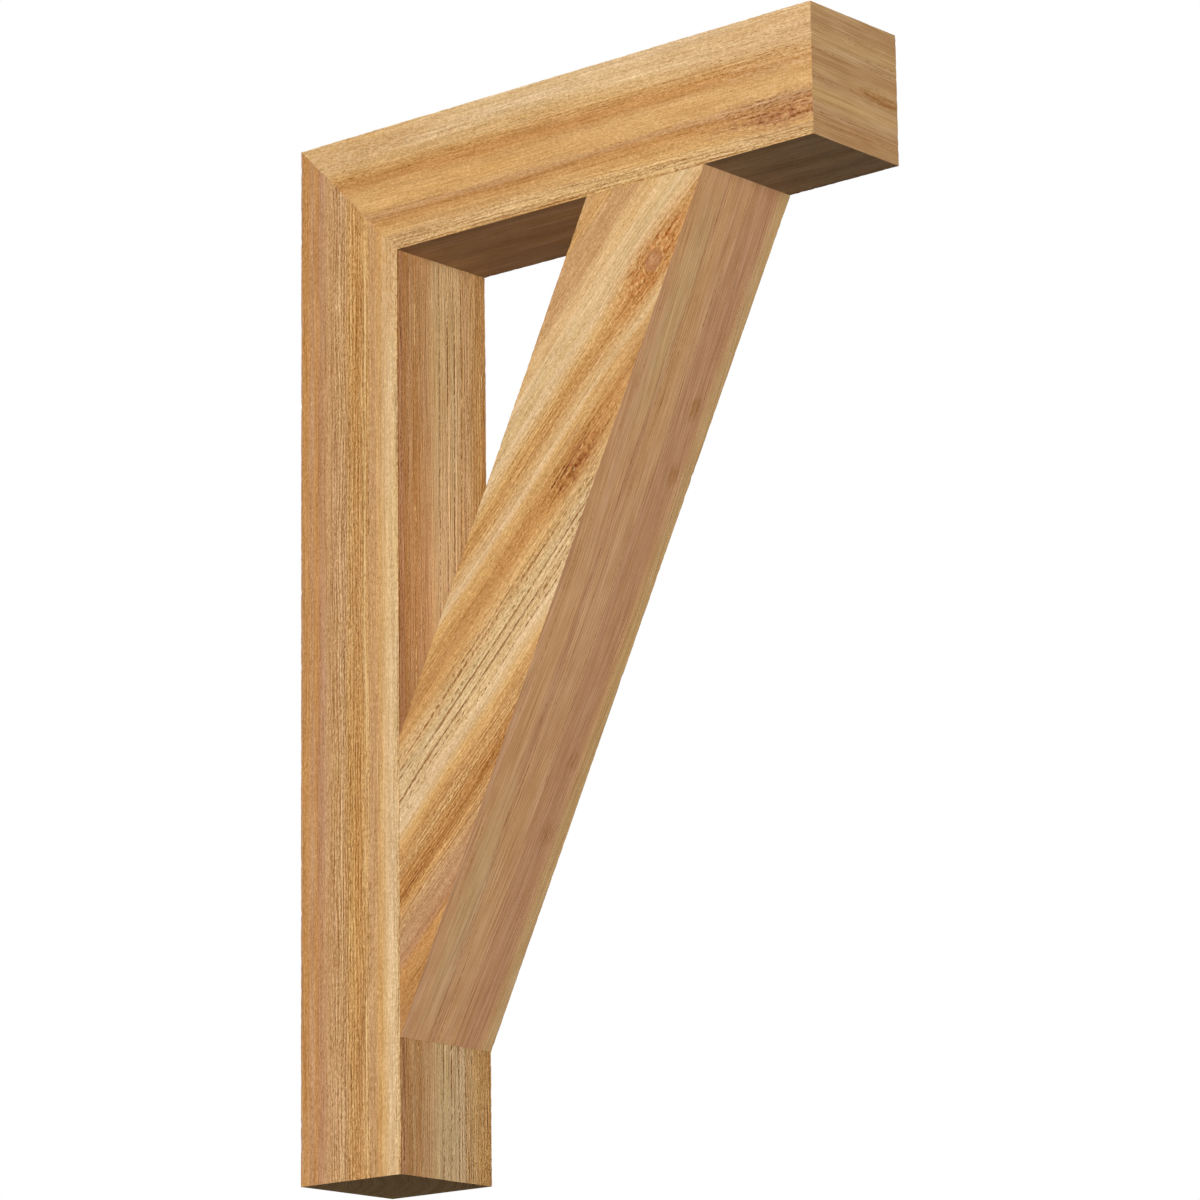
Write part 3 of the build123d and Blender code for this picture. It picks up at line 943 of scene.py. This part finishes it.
def bore_as(timber, node, slot):
    """Gives a timber its plain node's bores: what the two have in common."""
    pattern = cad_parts[node].data.copy()
    work = bmesh.new()
    work.from_mesh(pattern)
    bmesh.ops.remove_doubles(work, verts=work.verts, dist=1e-7)
    for polygon in work.faces:
        polygon.material_index = slot
    work.to_mesh(pattern)
    work.free()
    pattern.materials.clear()
    for material in timber.data.materials:
        pattern.materials.append(material)
    cutter = put("bores", pattern)
    boolean = timber.modifiers.new("bores", "BOOLEAN")
    boolean.operation = "INTERSECT"
    boolean.solver = "MANIFOLD"
    boolean.object = cutter
    bpy.context.view_layer.update()
    evaluated = timber.evaluated_get(bpy.context.evaluated_depsgraph_get())
    bored = bpy.data.meshes.new_from_object(evaluated)
    timber.modifiers.clear()
    old = timber.data
    timber.data = bored
    bored.name = timber.name
    bpy.data.meshes.remove(old)
    bpy.data.objects.remove(cutter)
    bpy.data.meshes.remove(pattern)


class BRACKET_OT_post(bpy.types.Operator):
    """Saws the post, mitred at its head"""

    bl_idname = "bracket.post"
    bl_label = "Post"

    def execute(self, context):
        outline = (
            (POST_LOW.x, POST_LOW.z),
            (TIMBER, POST_LOW.z),
            (TIMBER, BEAM_LOW.z),
            (POST_LOW.x, POST_HIGH.z),
        )
        saw_timber("sawn_post", "post", outline, post_faces(), context.scene.bracket_cedar)
        return {"FINISHED"}


class BRACKET_OT_beam(bpy.types.Operator):
    """Saws the beam, mitred at the wall"""

    bl_idname = "bracket.beam"
    bl_label = "Beam"

    def execute(self, context):
        outline = (
            (BEAM_LOW.x, BEAM_HIGH.z),
            (TIMBER, BEAM_LOW.z),
            (BEAM_HIGH.x, BEAM_LOW.z),
            (BEAM_HIGH.x, BEAM_HIGH.z),
        )
        saw_timber("sawn_beam", "beam", outline, beam_faces(), context.scene.bracket_cedar)
        return {"FINISHED"}


class BRACKET_OT_brace(bpy.types.Operator):
    """Saws the brace, cut level under the beam and plumb against the post"""

    bl_idname = "bracket.brace"
    bl_label = "Brace"

    def execute(self, context):
        outline = (
            (BRACE_LOW.x, BRACE_LOW.z + FOOT_SEAT),
            (BRACE_LOW.x, BRACE_LOW.z),
            (BRACE_HIGH.x, BRACE_HIGH.z),
            (BRACE_HIGH.x - HEAD_SEAT, BRACE_HIGH.z),
        )
        saw_timber("sawn_brace", "brace", outline, brace_faces(), context.scene.bracket_cedar)
        return {"FINISHED"}


def grow_ring(work, ring, radius, height, lobes=0.0):
    """Extrudes a ring of edges to a new radius and height, with six lobes where asked. Gives the new
    ring."""
    grown = bmesh.ops.extrude_edge_only(work, edges=ring)["geom"]
    for vert in (item for item in grown if isinstance(item, bmesh.types.BMVert)):
        turn = math.atan2(vert.co.y, vert.co.x)
        reach = radius * (1 + lobes * math.cos(6 * turn))
        vert.co = (reach * math.cos(turn), reach * math.sin(turn), height)
    return [item for item in grown if isinstance(item, bmesh.types.BMEdge) and len(item.link_faces) == 1]


def make_screw(work, settings):
    """A screw with the underside of its head at the origin and its point down."""
    head, thick, chamfer = settings.head_radius, settings.head_thickness, settings.rim_chamfer
    core, pitch, point = settings.core_radius, settings.thread_pitch, -settings.screw_length
    thread_end = point + settings.point_length
    thread_start = point + settings.thread_length
    floor = thick - settings.recess_depth
    drive = settings.recess_radius
    made = bmesh.ops.create_circle(work, cap_ends=True, segments=settings.segments, radius=drive)
    for vert in made["verts"]:
        turn = math.atan2(vert.co.y, vert.co.x)
        vert.co = vert.co * (1 - LOBE + LOBE * math.cos(6 * turn))
        vert.co.z = floor
    ring = [edge for edge in work.edges if len(edge.link_faces) == 1]
    ring = grow_ring(work, ring, 0.90 * drive, thick, lobes=0.13)
    profile = (
        (head - chamfer, thick), (head, thick - chamfer), (head, 0.25 * MM), (head - 0.25 * MM, 0),
        (settings.shank_radius + 0.5 * MM, 0), (settings.shank_radius, -0.6 * MM),
        (settings.shank_radius, thread_start), (core, thread_start - 2 * MM), (core, thread_end),
        (0.3 * core, point + 0.8 * MM),
    )
    for radius, height in profile:
        ring = grow_ring(work, ring, radius, height)
    tip = list({vert for edge in ring for vert in edge.verts})
    bmesh.ops.pointmerge(work, verts=tip, merge_co=(0, 0, point))
    add_thread(work, settings, thread_start - pitch, thread_end, point)


def add_thread(work, settings, start, taper, point):
    """A ridge wound down to the point, its root sunk in the core. It narrows below the taper."""
    core, pitch, steps = settings.core_radius, settings.thread_pitch, settings.segments
    turns = (start - point - 2 * MM) / pitch
    root, crest = core - THREAD_ROOT, settings.thread_radius
    corners = ((root, 0.24), (crest, 0.04), (crest, -0.04), (root, -0.24))
    old = set(work.verts)
    section = [work.verts.new((radius, 0, start + rise * pitch)) for radius, rise in corners]
    section = work.faces.new(section)
    bmesh.ops.spin(
        work, geom=[section], cent=(0, 0, 0), axis=(0, 0, 1), dvec=(0, 0, -pitch / steps),
        angle=2 * math.pi * turns, steps=round(turns * steps), use_merge=False, use_duplicate=False,
    )
    for vert in set(work.verts) - old:
        narrow = min(1.0, (vert.co.z - point) / (taper - point))
        grow = min(1.0, max(0.0, start - vert.co.z) / pitch)
        radius = math.hypot(vert.co.x, vert.co.y)
        wanted = (root + (radius - root) * grow) * narrow
        vert.co = (vert.co.x * wanted / radius, vert.co.y * wanted / radius, vert.co.z)


class BRACKET_OT_screws(bpy.types.Operator):
    """Turns the screws, with a six-lobed recess and a thread"""

    bl_idname = "bracket.screws"
    bl_label = "Screws"

    def execute(self, context):
        settings = context.scene.bracket_fixings
        material = self.coated(settings)
        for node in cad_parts:
            if "screw" not in node:
                continue
            low, high = (Vector(corner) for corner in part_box(node))
            middle = (low + high) / 2
            if high.x - low.x > high.z - low.z:
                turn = Matrix.Rotation(math.radians(-90), 4, "Y")
                seat = Vector((low.x + settings.head_thickness, middle.y, middle.z))
            else:
                turn = Matrix.Identity(4)
                seat = Vector((middle.x, middle.y, high.z - settings.head_thickness))
            mesh = bpy.data.meshes.new(f"coated_{node}")
            work = bmesh.new()
            make_screw(work, settings)
            bmesh.ops.transform(work, matrix=Matrix.Translation(seat) @ turn, verts=work.verts)
            bmesh.ops.recalc_face_normals(work, faces=work.faces)
            for polygon in work.faces:
                polygon.smooth = True
            for edge in work.edges:
                edge.smooth = edge.calc_face_angle(0.0) < CREASE
            work.to_mesh(mesh)
            work.free()
            mesh.materials.append(material)
            screw = put(mesh.name, mesh)
            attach(screw, "root")
            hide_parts(node)
        return {"FINISHED"}

    def coated(self, settings):
        material, graph, shader = new_material("Coated screw")
        place = graph.place()
        worn = graph.ramp(graph.noise(place, 1.6, detail=4.0), 0.56, 0.72)
        dress(graph, shader, 0.03 * MM, graph.noise(place, 0.5), {
            "Base Color": graph.mix(worn, settings.coating[:], tint(70, 58, 44)),
            "Roughness": graph.times_plus(worn, 0.25, 0.38), "Metallic": 0.45,
        })
        return material


class BRACKET_OT_dowels(bpy.types.Operator):
    """Gives the dowels their beech"""

    bl_idname = "bracket.dowels"
    bl_label = "Dowels"

    def execute(self, context):
        settings = context.scene.bracket_fixings
        material, graph, shader = new_material("Beech dowel")
        place = graph.place()
        along = graph.vector("DOT_PRODUCT", place, (0.7071, 0.0, 0.7071))
        side = graph.vector("DOT_PRODUCT", place, (0.7071, 0.0, -0.7071))
        flecks = graph.combine(along, side, graph.separate(place)[1])
        flecks = graph.noise(flecks, (5.0, 0.5, 0.5))
        dark = graph.mix(1.0, settings.beech[:], (0.72, 0.66, 0.6), "MULTIPLY")
        colour = graph.mix(graph.ramp(flecks, 0.5, 0.7), settings.beech[:], dark)
        dress(graph, shader, 0.1 * MM, flecks, {"Base Color": colour, "Roughness": 0.6})
        for name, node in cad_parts.items():
            if "dowel" in name:
                node.data.materials.clear()
                node.data.materials.append(material)
        return {"FINISHED"}


def soft_lamp(name, place, aim, size, power):
    """A square lamp that looks at a point."""
    lamp = bpy.data.lights.new(name, "AREA")
    lamp.shape = "SQUARE"
    lamp.size = size
    lamp.energy = power
    lamp_object = put(name, lamp)
    lamp_object.location = place
    lamp_object.rotation_euler = (aim - place).to_track_quat("-Z", "Y").to_euler()


class BRACKET_OT_stage(bpy.types.Operator):
    """Sets the floor, the world, the lamps and the camera"""

    bl_idname = "bracket.stage"
    bl_label = "Stage"

    def execute(self, context):
        settings = context.scene.bracket_stage
        self.make_world(settings)
        if settings.show_floor:
            self.make_floor(settings)
        middle = (Vector(cad_box[0]) + Vector(cad_box[1])) / 2
        for name, towards, power in (
            ("Key", (0.56, -0.83, -0.055), settings.key_power),
            ("Back", (-0.45, 0.85, 0.25), settings.back_power),
            ("Wall", (-0.95, -0.15, 0.30), settings.wall_power),
            ("Top", (-0.10, 0.10, 1.0), settings.top_power),
        ):
            place = middle + Vector(towards).normalized() * settings.lamp_distance
            soft_lamp(name, place, middle, settings.lamp_size, power)
        self.make_camera(settings)
        context.scene.view_settings.view_transform = "Standard"
        return {"FINISHED"}

    def make_world(self, settings):
        world = bpy.data.worlds.new("Studio")
        world.use_nodes = True
        bpy.context.scene.world = world
        graph = Graph(world.node_tree)
        background = world.node_tree.nodes["Background"]
        height = graph.separate(graph.add("ShaderNodeTexCoord").outputs["Generated"])[2]
        up = graph.ramp(height, -0.35, 0.55)
        light = graph.times_plus(up, settings.sky - settings.ground, settings.ground)
        path = graph.add("ShaderNodeLightPath").outputs
        seen = graph.larger(path["Is Camera Ray"], path["Is Glossy Ray"])
        seen = graph.larger(seen, path["Is Transmission Ray"])
        spread = graph.times_plus(seen, graph.minus(1.0, light), light)
        graph.fill(background, {"Strength": spread, "Color": (1, 1, 1)})

    def make_floor(self, settings):
        mesh = bpy.data.meshes.new("floor")
        work = bmesh.new()
        bmesh.ops.create_grid(work, x_segments=1, y_segments=1, size=FLOOR_REACH)
        bmesh.ops.translate(work, verts=work.verts, vec=(0, 0, settings.floor_height))
        work.to_mesh(mesh)
        work.free()
        floor = put("floor", mesh)
        material, graph, shader = new_material("Pale floor")
        path = graph.add("ShaderNodeLightPath").outputs
        seen = graph.larger(path["Is Camera Ray"], path["Is Glossy Ray"])
        dim = tuple(FLOOR_BOUNCE * c for c in settings.floor_colour)
        graph.fill(shader, {
            "Base Color": graph.mix(seen, dim, settings.floor_colour[:]), "Roughness": 0.9,
            "Emission Color": (1, 1, 1), "Emission Strength": graph.times(seen, FLOOR_GLOW),
        })
        clear = graph.add("ShaderNodeBsdfTransparent").outputs[0]
        behind = graph.add("ShaderNodeNewGeometry").outputs["Backfacing"]
        blend = graph.add("ShaderNodeMixShader", {0: behind, 1: shader.outputs[0], 2: clear}).outputs[0]
        output = material.node_tree.nodes["Material Output"]
        graph.feed(blend, output.inputs["Surface"])
        mesh.materials.append(material)

    def make_camera(self, settings):
        camera = bpy.data.cameras.new("Camera")
        camera.lens = settings.lens
        camera.sensor_width = SENSOR
        camera.clip_end = 50.0
        camera_object = put("Camera", camera)
        turn = (CAMERA_AIM - CAMERA_PLACE).to_track_quat("-Z", "Y").to_matrix()
        turn = turn @ Matrix.Rotation(CAMERA_ROLL, 3, "Z")
        camera_object.matrix_world = Matrix.Translation(CAMERA_PLACE) @ turn.to_4x4()
        bpy.context.scene.camera = camera_object


class BRACKET_PT_panel(bpy.types.Panel):
    """Lists the bracket's pieces"""

    bl_idname = "BRACKET_PT_panel"
    bl_label = "Bracket"
    bl_space_type = "VIEW_3D"
    bl_region_type = "UI"
    bl_category = "Bracket"

    def draw(self, context):
        scene = context.scene
        for settings in (scene.bracket_cedar, scene.bracket_fixings, scene.bracket_stage):
            for name in settings.__annotations__:
                self.layout.prop(settings, name)
        for operator in OPERATORS:
            self.layout.operator(operator.bl_idname)


OPERATORS = (
    BRACKET_OT_post, BRACKET_OT_beam, BRACKET_OT_brace, BRACKET_OT_screws, BRACKET_OT_dowels,
    BRACKET_OT_stage,
)
CLASSES = (CedarSettings, FixingSettings, StageSettings, *OPERATORS, BRACKET_PT_panel)


def register():
    for kind in CLASSES:
        bpy.utils.register_class(kind)
    bpy.types.Scene.bracket_cedar = PointerProperty(type=CedarSettings)
    bpy.types.Scene.bracket_fixings = PointerProperty(type=FixingSettings)
    bpy.types.Scene.bracket_stage = PointerProperty(type=StageSettings)


def unregister():
    del bpy.types.Scene.bracket_stage
    del bpy.types.Scene.bracket_fixings
    del bpy.types.Scene.bracket_cedar
    for kind in reversed(CLASSES):
        bpy.utils.unregister_class(kind)


def main():
    register()
    build_grain_frame()
    build_knot()
    build_ragged_bands()
    build_lean()
    build_torn_lines()
    build_sawn_cedar()
    build_end_grain()
    bpy.ops.bracket.post()
    bpy.ops.bracket.beam()
    bpy.ops.bracket.brace()
    bpy.ops.bracket.screws()
    bpy.ops.bracket.dowels()
    bpy.ops.bracket.stage()


if __name__ == "__main__":
    main()
